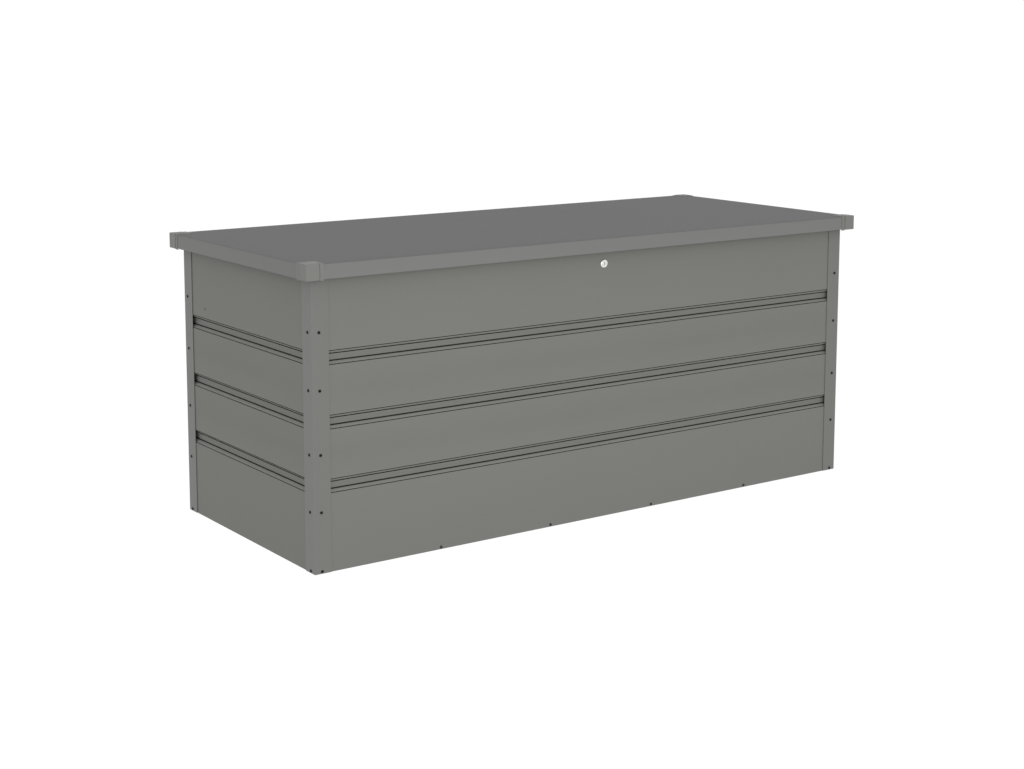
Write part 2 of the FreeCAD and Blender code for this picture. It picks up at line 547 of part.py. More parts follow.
def strut_fixings(name, side):
    plate_face = f"({inner_x} - sizes.foot_plate_gauge)"
    plate = box((f"{side} * {inner_x}", "sizes.strut_foot_y - sizes.foot_plate_length / 2",
                 "sizes.strut_foot_z - sizes.foot_plate_below"),
                (f"{side} * {plate_face}", "sizes.strut_foot_y + sizes.foot_plate_length / 2",
                 "sizes.strut_foot_z + sizes.foot_plate_above"))
    foot = ("sizes.strut_foot_y", "sizes.strut_foot_z")
    outwards = (-side, 0, 0)
    plate_hole = rod((f"{side} * {half_width}", *foot), "sizes.foot_bolt + 0.2", "10", outwards)
    keep(remove(plate, [plate_hole]), f"strut_foot_plate_{name}")

    eye_face = "(sizes.strut_out + sizes.eye_width / 2 + sizes.stud_gap)"
    eye_back = "(sizes.strut_out - sizes.eye_width / 2 - sizes.stud_gap)"
    solids = [rod((f"{side} * {plate_face}", *foot), "sizes.collar_radius", f"{plate_face} - {eye_face}", outwards),
              rod((f"{side} * {eye_face}", *foot), "sizes.stud_radius", f"{eye_face} - {eye_back} + 1", outwards),
              rod((f"{side} * {eye_back}", *foot), "sizes.stud_cap", "1.5", outwards)]
    thread = rod((f"{side} * {half_width}", *foot), "sizes.foot_bolt + 0.05", "sizes.foot_bolt_length + 2", outwards)
    keep(remove(join(solids), [thread]), f"strut_foot_stud_{name}")

    bracket_face = "(sizes.lid_bracket_out - sizes.lid_bracket_gauge)"
    head_low, head_high = (f"sizes.strut_head_y {sign} sizes.lid_bracket_length / 2" for sign in "-+")
    solids = [box((f"{side} * sizes.lid_bracket_out", head_low, "sizes.lid_bracket_foot"),
                  (f"{side} * {bracket_face}", head_high, lid_under)),
              box((f"{side} * sizes.lid_bracket_out", head_low, f"{lid_under} - sizes.lid_bracket_gauge"),
                  (f"{side} * (sizes.lid_bracket_out - sizes.lid_bracket_reach)", head_high, lid_under)),
              rod((f"{side} * {bracket_face}", "sizes.strut_head_y", "sizes.strut_head_z"), "sizes.stud_radius",
                  f"{bracket_face} - {eye_face} - sizes.stud_gap", outwards)]
    keep(join(solids), f"strut_lid_bracket_{name}")


for name, sign in sides.items():
    strut(name, sign)
    strut_fixings(name, sign)


# ---- cam lock in the front wall, and the strike that hangs from the lid

front_face = f"(-{wall_face_y})"
lock_back = f"({front_face} + sizes.lock_length)"
cam_front = f"({lock_back} + sizes.cam_setback)"
cam_back = f"({cam_front} + sizes.cam_gauge)"
backwards = (0, 1, 0)


def hexagon(centre, flats, height, direction):
    """A nut's blank, its across-flats size along the up axis, with height along direction."""
    corner = flats / 3 ** 0.5
    turn = FreeCAD.Rotation(FreeCAD.Vector(0, 0, 1), FreeCAD.Vector(*direction))
    ring = [centre + turn.multVec(FreeCAD.Rotation(FreeCAD.Vector(0, 0, 1), 60 * step).multVec(
        FreeCAD.Vector(corner, 0, 0))) for step in range(7)]
    return Part.Face(Part.makePolygon(ring)).extrude(FreeCAD.Vector(*direction) * height)


def lock():
    at_lock = ("0", "sizes.lock_height")
    flange = rod((at_lock[0], f"{front_face} - sizes.lock_flange_depth", at_lock[1]), "sizes.lock_flange",
                 "sizes.lock_flange_depth", backwards)
    rounded = round_edges(flange, "sizes.lock_flange_depth / 2", lambda edge: edge.Closed
                          and edge.BoundBox.YMax < value(front_face) - 1)
    barrel = rod((at_lock[0], f"{front_face} - 0.5", at_lock[1]), "sizes.lock_barrel", "sizes.lock_length + 0.5",
                 backwards)
    bore = rod((at_lock[0], f"{front_face} - 10", at_lock[1]), "sizes.core_radius + sizes.core_clearance",
               "sizes.lock_length + 20", backwards)
    keep(remove(join([rounded, barrel]), [bore]), "lock_housing")

    core_front = f"({front_face} - sizes.lock_flange_depth - sizes.core_proud)"
    core = rod((at_lock[0], core_front, at_lock[1]), "sizes.core_radius", f"{cam_front} - {core_front}", backwards)
    stub = rod((at_lock[0], f"{cam_front} - 1", at_lock[1]), "sizes.stub_radius", "sizes.cam_gauge + 0.9", backwards)
    keyway = box(("-sizes.keyway_width / 2", f"{core_front} - 1", "sizes.lock_height - sizes.keyway_height / 2"),
                 ("sizes.keyway_width / 2", f"{core_front} + sizes.keyway_depth",
                  "sizes.lock_height + sizes.keyway_height / 2"))
    tapping = rod((at_lock[0], f"{cam_back} - sizes.cam_screw_length - 1", at_lock[1]),
                  "sizes.cam_screw_radius + 0.05", "sizes.cam_screw_length + 5", backwards)
    keep(remove(join([core, stub]), [keyway, tapping]), "lock_core")

    tip = "(sizes.lock_height + sizes.cam_length - sizes.cam_width / 2)"
    solids = [box(("-sizes.cam_width / 2", cam_front, "sizes.lock_height"), ("sizes.cam_width / 2", cam_back, tip)),
              rod((at_lock[0], cam_front, at_lock[1]), "sizes.cam_width / 2", "sizes.cam_gauge", backwards),
              rod((at_lock[0], cam_front, tip), "sizes.cam_width / 2", "sizes.cam_gauge", backwards)]
    hub = rod((at_lock[0], f"{cam_front} - 1", at_lock[1]), "sizes.stub_radius + 0.05", "sizes.cam_gauge + 2",
              backwards)
    keep(remove(join(solids), [hub]), "lock_cam")
    head = rod((at_lock[0], cam_back, at_lock[1]), "sizes.cam_screw_head", "sizes.cam_screw_height", backwards)
    shank = rod((at_lock[0], f"{cam_back} - sizes.cam_screw_length", at_lock[1]), "sizes.cam_screw_radius",
                "sizes.cam_screw_length + 1", backwards)
    keep(join([head, shank]), "lock_cam_screw")

    nut = document.addObject("Part::Feature", "lock_nut")
    centre = point("0", f"-{inner_y}", "sizes.lock_height")
    blank = hexagon(centre, value("sizes.lock_nut_flats"), value("sizes.lock_nut_height"), backwards)
    nut.Shape = blank.cut(Part.makeCylinder(value("sizes.lock_barrel + 0.05"), 50, centre - FreeCAD.Vector(0, 10, 0),
                                            FreeCAD.Vector(*backwards)))
    keep(nut, "lock_nut")


def strike():
    near, far, front = "sizes.strike_near", "sizes.strike_far", "sizes.strike_front"
    gauge = "sizes.strike_gauge"
    solids = [box((near, front, "sizes.strike_foot"), (far, f"{front} + {gauge}", lid_under)),
              box((near, f"{front} - sizes.strike_lip", "sizes.strike_foot"),
                  (far, f"{front} + {gauge}", f"sizes.strike_foot + {gauge}")),
              box((near, front, f"{lid_under} - {gauge}"), (far, f"{front} + sizes.strike_tab", lid_under))]
    keep(join(solids), "lid_strike")


lock()
strike()


# ---- screws, nuts, rivets, pins and bumpers: groups of separate solids

def pan_screw(place, direction, head="sizes.screw_head", shank="sizes.screw_radius", length="sizes.screw_length"):
    """place is under the head, direction is the way the shank points."""
    axis = FreeCAD.Vector(*direction)
    height = value("sizes.screw_head_height")
    cylinder = Part.makeCylinder(value(head), height, place - axis * height, axis)
    rims = [edge for edge in cylinder.Edges if edge.Closed and edge.CenterOfMass.distanceToPoint(place) > height / 2]
    dome = cylinder.makeFillet(0.45 * height, rims)
    return dome.fuse(Part.makeCylinder(value(shank), value(length), place, axis)).removeSplitter()


def nut(place, direction):
    axis = FreeCAD.Vector(*direction)
    blank = hexagon(place, value("sizes.nut_flats"), value("sizes.nut_height"), direction)
    return blank.cut(Part.makeCylinder(value("sizes.nut_bore"), 20, place - axis * 5, axis))


def group(label, solids):
    item = document.addObject("Part::Feature", label)
    item.Shape = Part.makeCompound(solids)
    keep(item, label)


def post_places():
    """Every post screw: its place on the post's face, the way in, and what the nut sits on."""
    for row in screw_rows:
        lining = "sizes.sheet_gauge" if row == screw_rows[0] else "0"
        depth = f"sizes.post_gauge + sizes.post_gap + sizes.sheet_gauge + {lining}"
        for side in (-1, 1):
            for end in (-1, 1):
                yield point(f"{side} * {screw_x}", f"{end} * {half_depth}", row), (0, -end, 0), depth
                yield point(f"{side} * {half_width}", f"{end} * {screw_y}", row), (-side, 0, 0), depth


def foot_places():
    for column in foot_columns:
        for end in (-1, 1):
            yield (point(column, f"{end} * {wall_face_y}", "sizes.screw_foot"), (0, -end, 0), "2 * sizes.sheet_gauge")


def rim_places():
    depth = "sizes.sheet_gauge + sizes.rail_gauge"
    for column in rim_columns:
        for end in (-1, 1):
            yield (point(column, f"{end} * {wall_face_y}", "sizes.rim_screw_height"), (0, -end, 0), depth)
    for side in (-1, 1):
        for end in (-1, 1):
            yield (point(f"{side} * {wall_face_x}", f"{end} * sizes.rim_screw_near", "sizes.rim_screw_height"),
                   (-side, 0, 0), depth)


def hinge_places():
    for place in hinge_screw_places:
        yield (point(place, f"{wall_face_y} + sizes.leaf_gauge", "sizes.hinge_screw_height"), (0, -1, 0),
               "sizes.leaf_gauge + sizes.sheet_gauge")


screw_groups = {"post_screws": post_places, "foot_screws": foot_places, "rim_screws": rim_places,
                "hinge_screws": hinge_places}
nuts = []
for label, places in screw_groups.items():
    group(label, [pan_screw(place, direction) for place, direction, depth in places()])
    nuts += [nut(place + FreeCAD.Vector(*direction) * value(depth), direction) for place, direction, depth in places()]
group("hex_nuts", nuts)

group("strut_foot_bolts", [
    pan_screw(point(f"{side} * {wall_face_x}", "sizes.strut_foot_y", "sizes.strut_foot_z"), (-side, 0, 0),
              "sizes.foot_bolt_head", "sizes.foot_bolt", "sizes.foot_bolt_length") for side in (-1, 1)])

rivets = []
for place in hinge_screw_places:
    outside = point(place, lid_y, "sizes.rivet_height")
    inside = point(place, f"{hem_y} - sizes.leaf_gauge", "sizes.rivet_height")
    head_height = value("sizes.rivet_head_height")
    outer_head = Part.makeCylinder(value("sizes.rivet_head"), head_height, outside, FreeCAD.Vector(0, 1, 0))
    rims = [edge for edge in outer_head.Edges if edge.Closed and edge.BoundBox.YMin > outside.y + head_height / 2]
    tail = Part.makeCylinder(value("sizes.rivet_head"), head_height, inside, FreeCAD.Vector(0, -1, 0))
    shank = Part.makeCylinder(value("sizes.screw_radius"), outside.y - inside.y, inside, FreeCAD.Vector(0, 1, 0))
    rivets.append(outer_head.makeFillet(0.6 * head_height, rims).fuse([tail, shank]).removeSplitter())
group("hinge_rivets", rivets)

group("hinge_pins", [
    Part.makeCylinder(value("sizes.pin_radius"), value("sizes.hinge_width"),
                      point(f"{place} - sizes.hinge_width / 2", hinge_y, "sizes.hinge_height"),
                      FreeCAD.Vector(1, 0, 0)) for place in hinges.values()])

bumpers = []
for side in (-1, 1):
    for end in (-1, 1):
        seat = point(f"{side} * sizes.bumper_out", f"{end} * {bumper_y}", "sizes.wall_top")
        under = seat - FreeCAD.Vector(0, 0, value("sizes.rail_gauge"))
        pad = Part.makeCylinder(value("sizes.bumper_radius"), value("sizes.bumper_top - sizes.wall_top"), seat)
        rims = [edge for edge in pad.Edges if edge.Closed and edge.BoundBox.ZMin > seat.z + 1]
        stem = Part.makeCylinder(value("sizes.bumper_stem"), value("sizes.rail_gauge"), under)
        bulb = Part.makeCone(value("sizes.bumper_stem") - 1, value("sizes.bumper_bulb"), 3,
                             under - FreeCAD.Vector(0, 0, 3))
        bumpers.append(pad.makeFillet(1.5, rims).fuse([stem, bulb]).removeSplitter())
group("lid_bumpers", bumpers)


# ---- check every object, then write one file per piece

document.recompute()
for item in document.Objects:
    if "Invalid" in item.State or "Error" in item.State:
        raise RuntimeError(f"{item.Label} did not build: {item.State}")
os.makedirs("parts", exist_ok=True)
for item in pieces:
    if item.Shape.isNull() or not item.Shape.isValid():
        raise RuntimeError(f"{item.Label} has no valid shape")
    item.Shape.exportStep(f"parts/{item.Label}.step")
    print(item.Label, len(item.Shape.Solids), round(item.Shape.Volume))
print(len(pieces), "pieces")
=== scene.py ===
import json
import math
import bpy
import bmesh
from mathutils import Matrix, Vector

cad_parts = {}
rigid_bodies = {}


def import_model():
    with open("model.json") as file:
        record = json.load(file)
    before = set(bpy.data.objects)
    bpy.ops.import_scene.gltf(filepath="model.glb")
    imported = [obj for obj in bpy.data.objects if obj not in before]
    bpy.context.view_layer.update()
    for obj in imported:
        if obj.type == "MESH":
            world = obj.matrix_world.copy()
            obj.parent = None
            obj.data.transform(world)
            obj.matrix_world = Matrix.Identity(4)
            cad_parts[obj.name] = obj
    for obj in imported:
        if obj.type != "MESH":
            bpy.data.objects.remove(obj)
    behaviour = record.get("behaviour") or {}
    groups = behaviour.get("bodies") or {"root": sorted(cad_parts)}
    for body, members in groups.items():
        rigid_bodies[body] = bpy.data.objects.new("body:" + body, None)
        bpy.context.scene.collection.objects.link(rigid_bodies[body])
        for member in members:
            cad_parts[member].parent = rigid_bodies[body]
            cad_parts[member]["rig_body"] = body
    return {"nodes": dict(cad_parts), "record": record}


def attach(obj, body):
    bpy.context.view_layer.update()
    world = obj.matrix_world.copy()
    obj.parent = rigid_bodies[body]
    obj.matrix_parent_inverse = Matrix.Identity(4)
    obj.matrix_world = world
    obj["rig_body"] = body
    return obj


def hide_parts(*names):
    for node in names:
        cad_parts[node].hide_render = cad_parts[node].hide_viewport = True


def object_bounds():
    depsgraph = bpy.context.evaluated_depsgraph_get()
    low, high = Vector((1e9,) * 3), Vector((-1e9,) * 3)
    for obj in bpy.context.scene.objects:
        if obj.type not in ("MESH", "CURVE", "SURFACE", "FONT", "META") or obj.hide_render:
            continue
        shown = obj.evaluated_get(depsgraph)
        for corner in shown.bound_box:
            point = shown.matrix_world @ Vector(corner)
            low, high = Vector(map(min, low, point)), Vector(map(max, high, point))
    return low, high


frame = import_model()
cadLow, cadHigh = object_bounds()
scene = bpy.context.scene
mm = 0.001
slotOfNode = {entry["node"]: entry["material_slot"] for entry in frame["record"]["subparts"]}
bodyOfNode = {name: node["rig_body"] for name, node in frame["nodes"].items()}
sides = {"left": -1, "right": 1}
ends = {"front": -1, "back": 1}
print("frame loaded:", len(frame["nodes"]), "nodes")


# Materials

def linearColour(hexCode):
    channels = [int(hexCode[start:start + 2], 16) / 255 for start in (1, 3, 5)]
    linear = [c / 12.92 if c <= 0.04045 else ((c + 0.055) / 1.055) ** 2.4 for c in channels]
    return (*linear, 1)


def addNode(tree, kind, settings=None, links=None):
    # settings name a node's own properties or its inputs, links name inputs and what feeds them
    node = tree.nodes.new(kind)
    for key, wanted in (settings or {}).items():
        if isinstance(key, int) or key in node.inputs:
            node.inputs[key].default_value = wanted
        else:
            setattr(node, key, wanted)
    for key, source in (links or {}).items():
        tree.links.new(source, node.inputs[key])
    return node


def newMaterial(name, settings):
    material = bpy.data.materials.new(name)
    material.use_nodes = True
    tree = material.node_tree
    shader = tree.nodes["Principled BSDF"]
    for key, wanted in settings.items():
        shader.inputs[key].default_value = wanted
    place = addNode(tree, "ShaderNodeTexCoord").outputs["Object"]  # metres, so a scale is waves a metre
    return material, tree, shader, place


def wavesPerMetre(millimetres):
    return 1 / (millimetres * mm)


def tintBetween(tree, shader, first, second, pattern):
    mix = addNode(tree, "ShaderNodeMix", {"data_type": "RGBA"}, {"Factor": pattern})
    mix.inputs[6].default_value = linearColour(first)
    mix.inputs[7].default_value = linearColour(second)
    tree.links.new(mix.outputs[2], shader.inputs["Base Color"])
    return mix


def roughnessBetween(tree, shader, low, high, pattern):
    # a noise spends nearly all its time between 0.3 and 0.7
    spread = addNode(tree, "ShaderNodeMapRange",
                     {"From Min": 0.3, "From Max": 0.7, "To Min": low, "To Max": high}, {"Value": pattern})
    tree.links.new(spread.outputs["Result"], shader.inputs["Roughness"])


def bumpFrom(tree, shader, pattern, depth, strength=1.0):
    bump = addNode(tree, "ShaderNodeBump",
                   {"Strength": strength, "Distance": depth * mm}, {"Height": pattern})
    tree.links.new(bump.outputs["Normal"], shader.inputs["Normal"])


powderCoat = {
    "walls": ("#777873", "#747570"),
    "paintedLitSlopes": "#8E8F8A",     # painted light: the grooves' slanted faces get a lighter tone, so they show as bright as the wall's face
    "beads": "#272825",      # painted shade: near black, for the shadow inside the narrow slots beside the slanted faces
    "posts": ("#787975", "#757672"),
    "screws": ("#343533", "#2B2C2A"),
    "paintedLitPostSides": "#7E7F7C",  # painted light: the legs along the short sides get a lighter tone, so they show as bright as the front legs
    "lid": ("#7B7C79", "#787976"),
    "paintedShadeLidTop": "#646464",     # painted shade: the top gets a darker tone than the skirts, as if less light falls on it
    "grain": 1.6,       # mm, orange peel of a fine matt powder
    "grit": 0.35,       # mm, the texturing agent in it
    "cloud": 240,       # mm, slow change of film thickness
    "peelDepth": 0.028,
    "roughness": (0.56, 0.66),
}


def powderCoatedSteel(name, tones, axis=None, paintedLightTone=None):
    # polyester powder baked on zinc-coated sheet: an even matt grey with a dull sheen and a fine orange peel
    # faces turned along axis take another tone: painted light or shade for how light falls on faces turned
    # that way
    material, tree, shader, place = newMaterial(name, {"IOR": 1.5, "Specular IOR Level": 0.32})
    cloud = addNode(tree, "ShaderNodeTexNoise", {"Scale": wavesPerMetre(powderCoat["cloud"]), "Detail": 3},
                    {"Vector": place}).outputs["Fac"]
    tint = tintBetween(tree, shader, tones[1], tones[0], cloud)
    if axis:
        normal = addNode(tree, "ShaderNodeTexCoord").outputs["Normal"]
        facing = addNode(tree, "ShaderNodeSeparateXYZ", links={"Vector": normal}).outputs[axis]
        share = addNode(tree, "ShaderNodeMath", {"operation": "ABSOLUTE"}, {0: facing}).outputs[0]
        turned = addNode(tree, "ShaderNodeMix", {"data_type": "RGBA"}, {0: share, 6: tint.outputs[2]})
        turned.inputs[7].default_value = linearColour(paintedLightTone)
        tree.links.new(turned.outputs[2], shader.inputs["Base Color"])
    peel = addNode(tree, "ShaderNodeTexNoise", {"Scale": wavesPerMetre(powderCoat["grain"]), "Detail": 2},
                   {"Vector": place}).outputs["Fac"]
    grit = addNode(tree, "ShaderNodeTexNoise", {"Scale": wavesPerMetre(powderCoat["grit"]), "Detail": 1},
                   {"Vector": place}).outputs["Fac"]
    relief = addNode(tree, "ShaderNodeMath", {"operation": "MULTIPLY_ADD", 1: 0.3}, {0: grit, 2: peel})
    roughnessBetween(tree, shader, *powderCoat["roughness"], peel)
    bumpFrom(tree, shader, relief.outputs[0], powderCoat["peelDepth"], 0.5)
    return material


capPlastic = {
    "tones": ("#7B7C78", "#777874"), "flow": 25, "grain": 0.7, "depth": 0.02, "roughness": (0.42, 0.56),
}


def mouldedPlasticCap():
    # weatherproof moulded polypropylene: fine spark-eroded grain, softer gloss than the powder coat
    material, tree, shader, place = newMaterial("mouldedPlasticCap", {"IOR": 1.49, "Specular IOR Level": 0.4})
    flow = addNode(tree, "ShaderNodeTexNoise", {"Scale": wavesPerMetre(capPlastic["flow"]), "Detail": 2},
                   {"Vector": place})
    grain = addNode(tree, "ShaderNodeTexVoronoi", {"Scale": wavesPerMetre(capPlastic["grain"])},
                    {"Vector": place})
    tintBetween(tree, shader, capPlastic["tones"][1], capPlastic["tones"][0], flow.outputs["Fac"])
    roughnessBetween(tree, shader, *capPlastic["roughness"], flow.outputs["Fac"])
    bumpFrom(tree, shader, grain.outputs["Distance"], capPlastic["depth"], 0.4)
    return material


blackScrew = {"tones": ("#050505", "#0C0C0C"), "wear": 1.2, "depth": 0.02, "roughness": (0.5, 0.65)}


def blackZincScrew():
    # steel screws in black chromate over zinc: near black, satin, rubbed a little lighter in patches
    material, tree, shader, place = newMaterial("blackZincScrew", {"Specular IOR Level": 0.25})
    wear = addNode(tree, "ShaderNodeTexNoise", {"Scale": wavesPerMetre(blackScrew["wear"]), "Detail": 3},
                   {"Vector": place}).outputs["Fac"]
    tintBetween(tree, shader, *blackScrew["tones"], wear)
    roughnessBetween(tree, shader, *blackScrew["roughness"], wear)
    bumpFrom(tree, shader, wear, blackScrew["depth"], 0.3)
    return material


zincPlate = {
    "tones": ("#B4B7BA", "#C9CBCD"), "crystal": 7, "haze": 0.5, "depth": 0.008, "roughness": (0.28, 0.44),
}


def zincPlatedSteel():
    # bright zinc plate: cool silver, cloudy in patches where the passivation dried
    material, tree, shader, place = newMaterial("zincPlatedSteel", {"Metallic": 1.0})
    patches = addNode(tree, "ShaderNodeTexVoronoi", {"Scale": wavesPerMetre(zincPlate["crystal"])},
                      {"Vector": place})
    haze = addNode(tree, "ShaderNodeTexNoise", {"Scale": wavesPerMetre(zincPlate["haze"]), "Detail": 2},
                   {"Vector": place}).outputs["Fac"]
    tintBetween(tree, shader, *zincPlate["tones"], patches.outputs["Distance"])
    roughnessBetween(tree, shader, *zincPlate["roughness"], haze)
    bumpFrom(tree, shader, haze, zincPlate["depth"], 0.4)
    return material


chromePlate = {"tones": ("#F6F6F6", "#FFFFFF"), "haze": 3, "roughness": (0.10, 0.2)}


def chromedZinc():
    # die-cast zinc, polished and chromed: almost white, mirror-like with a slight haze
    material, tree, shader, place = newMaterial("chromedZinc", {"Metallic": 1.0})
    haze = addNode(tree, "ShaderNodeTexNoise", {"Scale": wavesPerMetre(chromePlate["haze"]), "Detail": 3},
                   {"Vector": place}).outputs["Fac"]
    tintBetween(tree, shader, *chromePlate["tones"], haze)
    roughnessBetween(tree, shader, *chromePlate["roughness"], haze)
    return material


nickelPlug = {
    "tones": ("#F0F0EE", "#FFFFFF"), "roughness": (0.22, 0.32), "depth": 0.01,
    "height": 626.5,    # mm, of the plug's axis above the ground
    "turning": 0.5,     # mm for each radian of the wave, so its rings stand about 3 mm apart
}


def turnedNickelPlug():
    # lock plug faced on a lathe and nickel plated: bright, with faint rings round its middle
    material, tree, shader, place = newMaterial("turnedNickelPlug", {"Metallic": 1.0})
    centred = addNode(tree, "ShaderNodeMapping", {"Location": (0, 0, -nickelPlug["height"] * mm)},
                      {"Vector": place})
    # a wave texture turns through 20 radians a metre at a scale of 1
    rings = addNode(tree, "ShaderNodeTexWave",
                    {"wave_type": "RINGS", "rings_direction": "Y", "Distortion": 0.3,
                     "Scale": wavesPerMetre(nickelPlug["turning"]) / 20},
                    {"Vector": centred.outputs[0]}).outputs["Fac"]
    tintBetween(tree, shader, *nickelPlug["tones"], rings)
    roughnessBetween(tree, shader, *nickelPlug["roughness"], rings)
    bumpFrom(tree, shader, rings, nickelPlug["depth"], 0.2)
    return material


rubber = {"tones": ("#1B1B1B", "#2C2C2B"), "bloom": 3, "depth": 0.03, "roughness": (0.62, 0.85)}


def mouldedRubber():
    # black nitrile bumpers: dull, with a dusty bloom in patches
    material, tree, shader, place = newMaterial("mouldedRubber", {"IOR": 1.52, "Specular IOR Level": 0.35})
    bloom = addNode(tree, "ShaderNodeTexNoise", {"Scale": wavesPerMetre(rubber["bloom"]), "Detail": 4},
                    {"Vector": place}).outputs["Fac"]
    tintBetween(tree, shader, *rubber["tones"], bloom)
    roughnessBetween(tree, shader, *rubber["roughness"], bloom)
    bumpFrom(tree, shader, bloom, rubber["depth"], 0.5)
    return material


strutPaint = {"tones": ("#101011", "#181819"), "ripple": 2.5, "depth": 0.02, "roughness": (0.28, 0.4)}


def strutBlackPaint():
    # gas strut tube in stoved black enamel: glossy, with a soft ripple
    material, tree, shader, place = newMaterial(
        "strutBlackPaint", {"IOR": 1.5, "Coat Weight": 0.3, "Coat Roughness": 0.12})
    ripple = addNode(tree, "ShaderNodeTexNoise", {"Scale": wavesPerMetre(strutPaint["ripple"]), "Detail": 2},
                     {"Vector": place}).outputs["Fac"]
    tintBetween(tree, shader, *strutPaint["tones"], ripple)
    roughnessBetween(tree, shader, *strutPaint["roughness"], ripple)
    bumpFrom(tree, shader, ripple, strutPaint["depth"], 0.3)
    return material


rodChrome = {"tones": ("#C6C8CB", "#DADCDE"), "grinding": 1.2, "roughness": (0.08, 0.16)}


def hardChromedRod():
    # piston rod, ground and hard chromed: a clear mirror, faintly mottled by the grinding
    material, tree, shader, place = newMaterial("hardChromedRod", {"Metallic": 1.0})
    mottle = addNode(tree, "ShaderNodeTexNoise", {"Scale": wavesPerMetre(rodChrome["grinding"]), "Detail": 3},
                     {"Vector": place}).outputs["Fac"]
    tintBetween(tree, shader, *rodChrome["tones"], mottle)
    roughnessBetween(tree, shader, *rodChrome["roughness"], mottle)
    return material


materials = {
    "grey_powder_coat": powderCoatedSteel("powderCoatedSteel", powderCoat["walls"]),
    "cap_plastic": mouldedPlasticCap(),
    "black_screw_steel": blackZincScrew(),
    "zinc_plated_steel": zincPlatedSteel(),
    "lock_chrome": chromedZinc(),
    "lock_core_steel": turnedNickelPlug(),
    "bumper_rubber": mouldedRubber(),
    "strut_black_paint": strutBlackPaint(),
    "rod_chrome": hardChromedRod(),
}
# the walls' faces turned up or down, mostly the grooves' slanted faces, take a painted lighter tone
wallCoat = powderCoatedSteel("powderCoatedWall", powderCoat["walls"], "Z", powderCoat["paintedLitSlopes"])
# near-black painted shade for the narrow slots of the grooves
beadShadeCoat = powderCoatedSteel("paintedShadeBead", (powderCoat["beads"], powderCoat["beads"]))
paintedScrew = powderCoatedSteel("paintedScrew", powderCoat["screws"])
# the posts' legs along the short sides take a painted lighter tone
postCoat = powderCoatedSteel("powderCoatedPost", powderCoat["posts"], "X", powderCoat["paintedLitPostSides"])
# the lid's top takes a painted darker tone, standing for shade
lidCoat = powderCoatedSteel("powderCoatedLid", powderCoat["lid"], "Z", powderCoat["paintedShadeLidTop"])
for nodeName, node in frame["nodes"].items():
    node.data.materials.clear()
    node.data.materials.append(materials[slotOfNode[nodeName]])
print("materials done")


# Shapes: every one is (points, faces), in millimetres until it becomes a piece

def loft(rings, closed=True, capped=(True, True)):
    # rings of the same count of points, joined one to the next; an open ring makes a band
    count = len(rings[0])
    points = [point for ring in rings for point in ring]
    spans = range(count) if closed else range(count - 1)
    faces = []
    for row in range(len(rings) - 1):
        for here in spans:
            after = (here + 1) % count
            faces.append((row * count + here, row * count + after,
                          (row + 1) * count + after, (row + 1) * count + here))
    if capped[0]:
        faces.append(tuple(range(count))[::-1])
    if capped[1]:
        faces.append(tuple(range(len(points) - count, len(points))))
    return points, faces


def together(*shapes):
    points, faces = [], []
    for some, joined in shapes:
        start = len(points)
        points += some
        faces += [tuple(start + index for index in face) for face in joined]
    return points, faces


def moved(shape, matrix):
    return [tuple(matrix @ Vector(point)) for point in shape[0]], shape[1]


def circle(radius, height, count=32):
    angles = [math.tau * step / count for step in range(count)]
    return [(radius * math.cos(angle), radius * math.sin(angle), height) for angle in angles]


def turned(profile, count=32):
    # profile of (radius, height) up the z axis
    return loft([circle(radius, height, count) for radius, height in profile])


def hollow(profile, count):
    # a profile that ends where it starts, so it needs no caps
    return loft([circle(radius, height, count) for radius, height in profile], capped=(False, False))


def aim(place, direction):
    # a shape built up the z axis, stood at place and pointed along direction
    turn = Vector(direction).to_track_quat("Z", "Y").to_matrix().to_4x4()
    return Matrix.Translation(Vector(place)) @ turn


def roundedPath(path, radius, steps=4):
    # the folds of a sheet: each corner of the path becomes an arc
    corners = [Vector(point) for point in path]
    points = [corners[0]]
    for before, corner, after in zip(corners, corners[1:], corners[2:]):
        into, out = corner - before, after - corner
        bend = into.angle(out)
        if bend < 0.01:
            points.append(corner)
            continue
        reach = min(radius * math.tan(bend / 2), 0.45 * into.length, 0.45 * out.length)
        start, stop = corner - into.normalized() * reach, corner + out.normalized() * reach
        for step in range(steps + 1):
            t = step / steps
            points.append((1 - t) ** 2 * start + 2 * t * (1 - t) * corner + t ** 2 * stop)
    points.append(corners[-1])
    return [tuple(point) for point in points]


def roundedLoop(path, radius, steps=4):
    # the same for a closed outline
    middle = tuple((Vector(path[0]) + Vector(path[-1])) / 2)
    return roundedPath([middle, *path, middle], radius, steps)[:-1]


def extruded(section, low, high, axis):
    # section is in the two other axes, in x, y, z order
    def placed(at):
        slot = "xyz".index(axis)
        return [(*pair[:slot], at, *pair[slot:]) for pair in section]
    return loft([placed(low), placed(high)])


def stand(name, shape, nodes, finish=None, smoothBelow=40):
    # makes the piece, stands it in for its CAD nodes, and rides it on their body
    nodes = [nodes] if isinstance(nodes, str) else nodes
    mesh = bpy.data.meshes.new(name)
    mesh.from_pydata([tuple(mm * length for length in point) for point in shape[0]], [], shape[1])
    tidy = bmesh.new()
    tidy.from_mesh(mesh)
    bmesh.ops.remove_doubles(tidy, verts=tidy.verts, dist=0.002 * mm)
    bmesh.ops.dissolve_degenerate(tidy, edges=tidy.edges, dist=0.002 * mm)
    bmesh.ops.recalc_face_normals(tidy, faces=tidy.faces)
    tidy.to_mesh(mesh)
    tidy.free()
    mesh.shade_smooth()
    mesh.set_sharp_from_angle(angle=math.radians(smoothBelow))
    mesh.materials.append(finish or materials[slotOfNode[nodes[0]]])
    piece = bpy.data.objects.new(name, mesh)
    scene.collection.objects.link(piece)
    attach(piece, bodyOfNode[nodes[0]])
    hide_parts(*nodes)
    return piece


